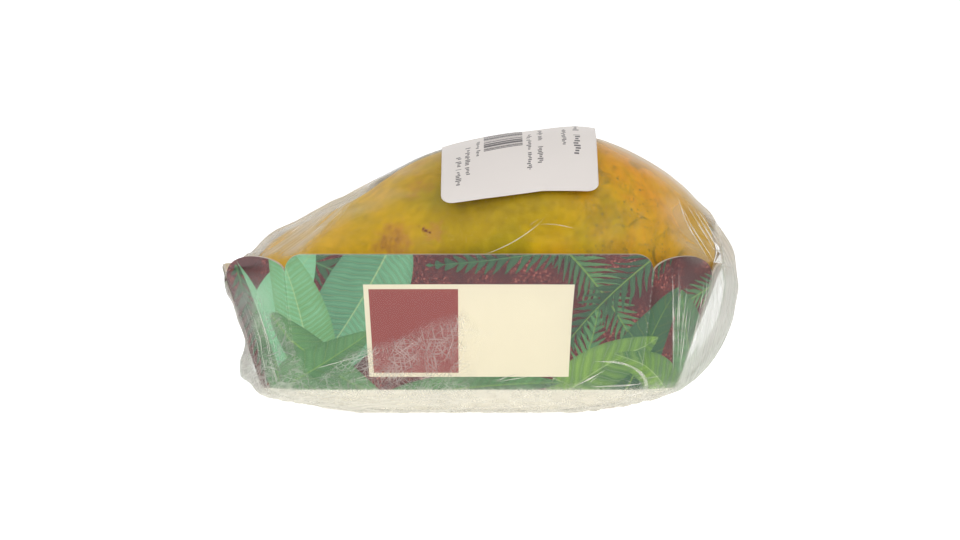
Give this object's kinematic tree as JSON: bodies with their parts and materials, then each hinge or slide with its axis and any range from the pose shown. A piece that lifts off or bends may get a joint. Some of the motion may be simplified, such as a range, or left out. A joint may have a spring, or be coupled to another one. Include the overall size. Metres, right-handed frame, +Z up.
{
  "type": "papaya",
  "caption": "Whole ripe papaya lying in a flared card tray with a scalloped rim, wrapped in clear stretch film, with a plain paper label over the top.",
  "frame": {"origin": "on the flat rest area under the film, below the middle of the pack", "axes": "+X along the length towards the fruit's fat blossom end, -Y towards the front with the label's long flap, +Z up"},
  "size_m": [0.1629, 0.0972, 0.0903],
  "materials": {
    "papaya": "waxy ripe skin, yellow with olive and orange areas and fine speckles",
    "card": "printed foliage on coated card, bare cream inside and underneath",
    "film": "clear stretch film, hazy where it is gathered",
    "label": "off-white thermal paper"
  },
  "bodies": {
    "root": {"papaya": "papaya", "tray": "card", "film": "film", "label": "label"}
  },
  "joints": []
}
